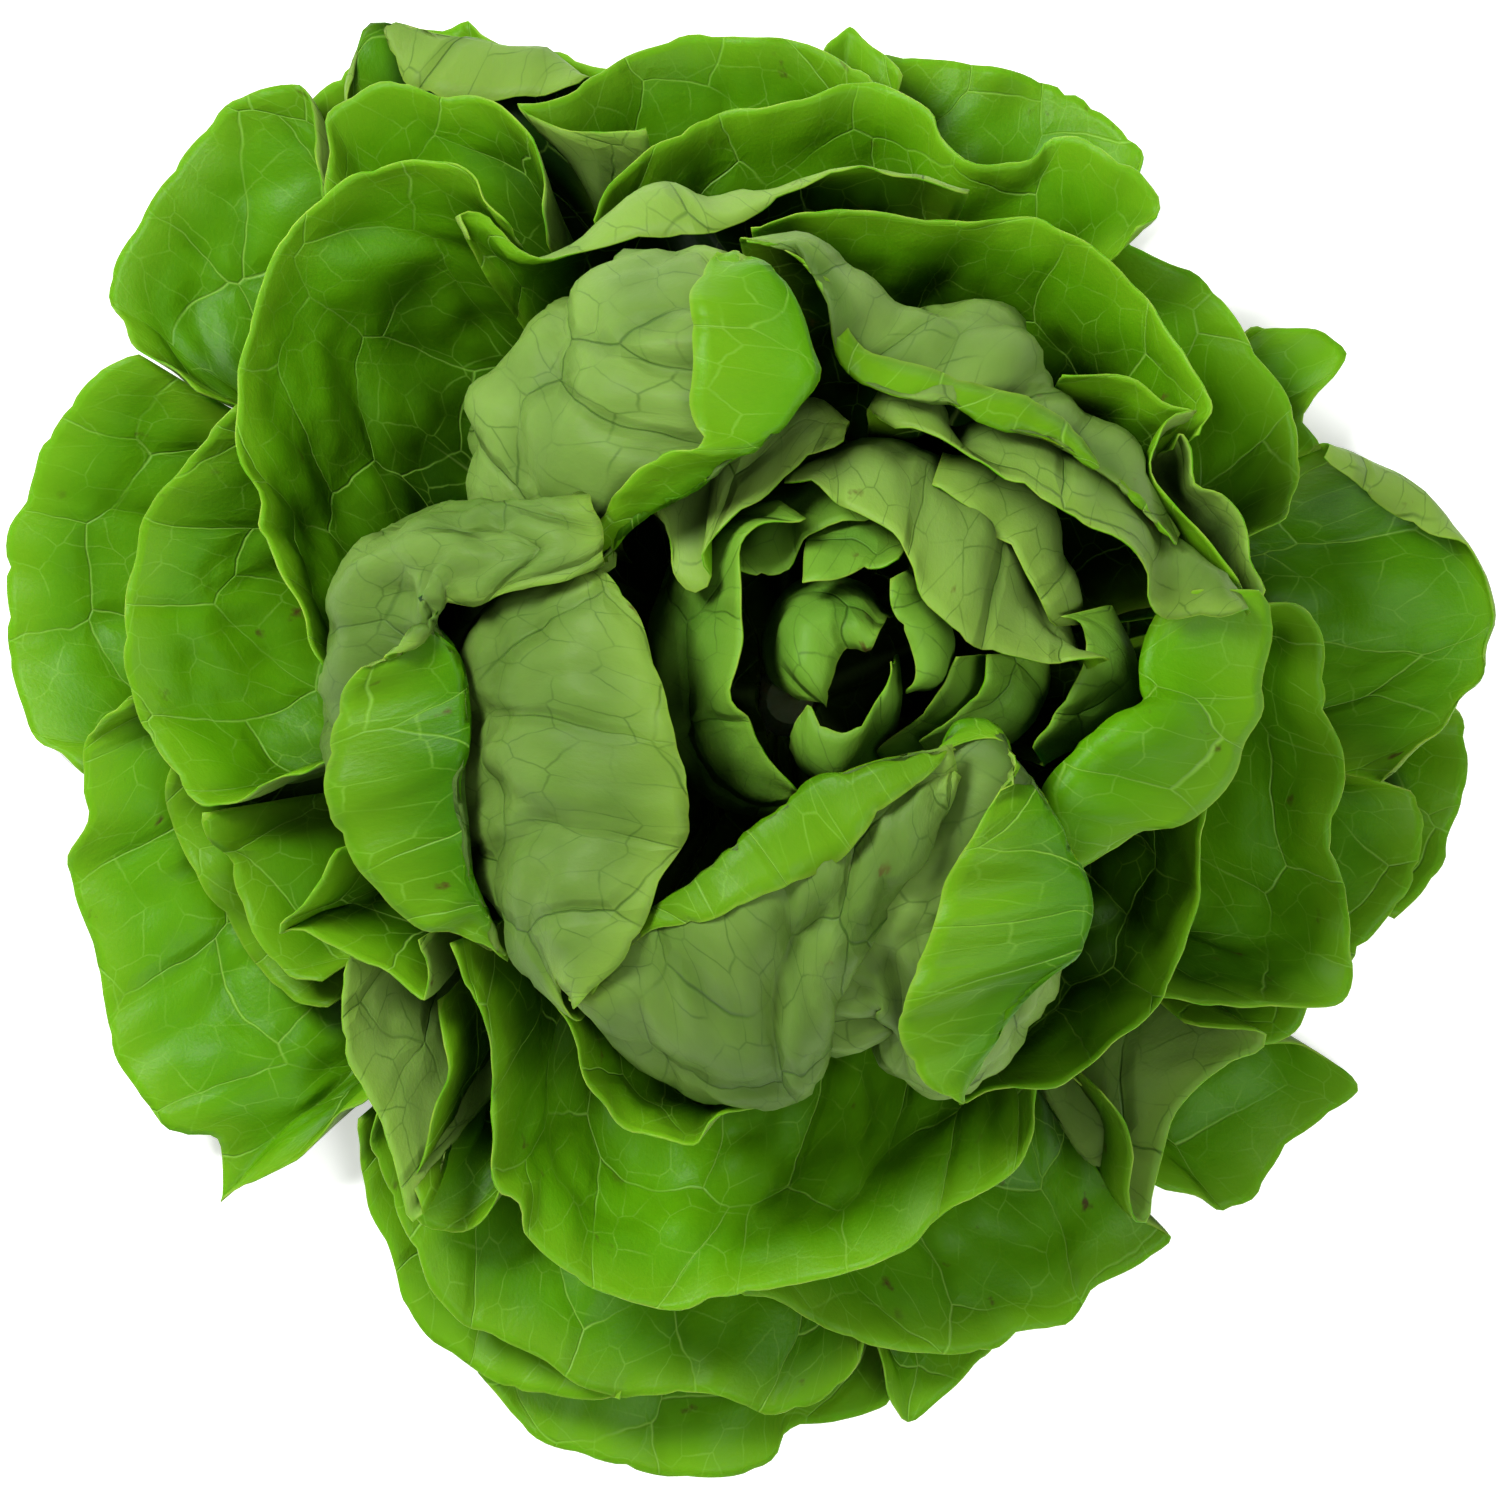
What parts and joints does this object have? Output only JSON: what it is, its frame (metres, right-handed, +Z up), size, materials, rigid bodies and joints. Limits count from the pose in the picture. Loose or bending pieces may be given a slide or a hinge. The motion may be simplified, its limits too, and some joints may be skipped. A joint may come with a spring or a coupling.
{
  "type": "butterhead lettuce",
  "caption": "Loose round head of butterhead lettuce, wide waved outer leaves round a hooded heart, cut flat at the stem; a leafy vegetable for kitchens and stalls.",
  "frame": {"origin": "centre of the flat cut face of the stem, which the head stands on", "axes": "+Z up along the stem, out of the heart; +Y towards the top of the picture and +X towards its right"},
  "size_m": [0.2836, 0.2772, 0.1144],
  "materials": {
    "stem": "pale milky white-green butt, matt",
    "back_leaf": "bright translucent yellow-green leaf tips, satin",
    "outer_leaf": "deep green open leaves with pale veins, satin",
    "cup_leaf": "mid green cupped leaves with pale veins, satin",
    "wrap_leaf": "pale grey-green undersides with yellow-green rolled rims, satin",
    "heart_leaf": "small pale green folded leaves, satin"
  },
  "bodies": {
    "root": {"stem": "stem", "back_leaf_lower_right": "back_leaf", "back_leaf_far_left": "back_leaf", "back_leaf_top_right": "back_leaf", "back_leaf_bottom": "back_leaf", "back_leaf_far_right": "back_leaf", "back_leaf_top": "back_leaf", "back_leaf_tip_lower": "back_leaf", "back_leaf_upper_left": "back_leaf", "outer_leaf_bottom_low": "outer_leaf", "back_leaf_tip_top": "back_leaf", "outer_leaf_lower_left": "outer_leaf", "back_leaf_tip_right": "back_leaf", "outer_leaf_upper_left": "outer_leaf", "outer_leaf_right_low": "outer_leaf", "outer_leaf_bottom": "outer_leaf", "outer_leaf_top_folded": "outer_leaf", "outer_leaf_far_right": "outer_leaf", "outer_leaf_left_sliver": "outer_leaf", "outer_leaf_top_back": "outer_leaf", "outer_leaf_lower_right": "outer_leaf", "outer_leaf_upper_right": "outer_leaf", "outer_leaf_left_flat": "outer_leaf", "outer_leaf_small_right": "outer_leaf", "outer_leaf_top_left": "outer_leaf", "outer_leaf_grey_fold": "outer_leaf", "outer_leaf_left": "outer_leaf", "outer_leaf_top": "outer_leaf", "outer_leaf_bottom_small": "outer_leaf", "outer_leaf_right": "outer_leaf", "outer_leaf_pale_strip": "outer_leaf", "outer_leaf_left_lobe": "outer_leaf", "cup_leaf_upper_left": "cup_leaf", "cup_leaf_bottom": "cup_leaf", "cup_leaf_top": "cup_leaf", "cup_leaf_top_right": "cup_leaf", "wrap_leaf_left": "wrap_leaf", "cup_leaf_right_strip": "cup_leaf", "cup_leaf_right_star": "cup_leaf", "cup_leaf_lower_right": "cup_leaf", "cup_leaf_front": "cup_leaf", "cup_leaf_right_rolled": "cup_leaf", "wrap_leaf_top_right": "wrap_leaf", "wrap_leaf_upper": "wrap_leaf", "wrap_leaf_centre_left": "wrap_leaf", "wrap_leaf_right": "wrap_leaf", "wrap_leaf_lower_left": "wrap_leaf", "heart_leaf_right_dark": "heart_leaf", "wrap_leaf_lower_right": "wrap_leaf", "heart_leaf_upper_right_back": "heart_leaf", "heart_leaf_top_fold": "heart_leaf", "heart_leaf_left_outer": "heart_leaf", "heart_leaf_cap": "heart_leaf", "heart_leaf_low_right_1": "heart_leaf", "heart_leaf_top_inner": "heart_leaf", "heart_leaf_low_right_2": "heart_leaf", "heart_leaf_top_ring": "heart_leaf", "heart_leaf_right_curl": "heart_leaf", "heart_leaf_bottom_curl": "heart_leaf", "heart_leaf_innermost": "heart_leaf"}
  },
  "joints": []
}
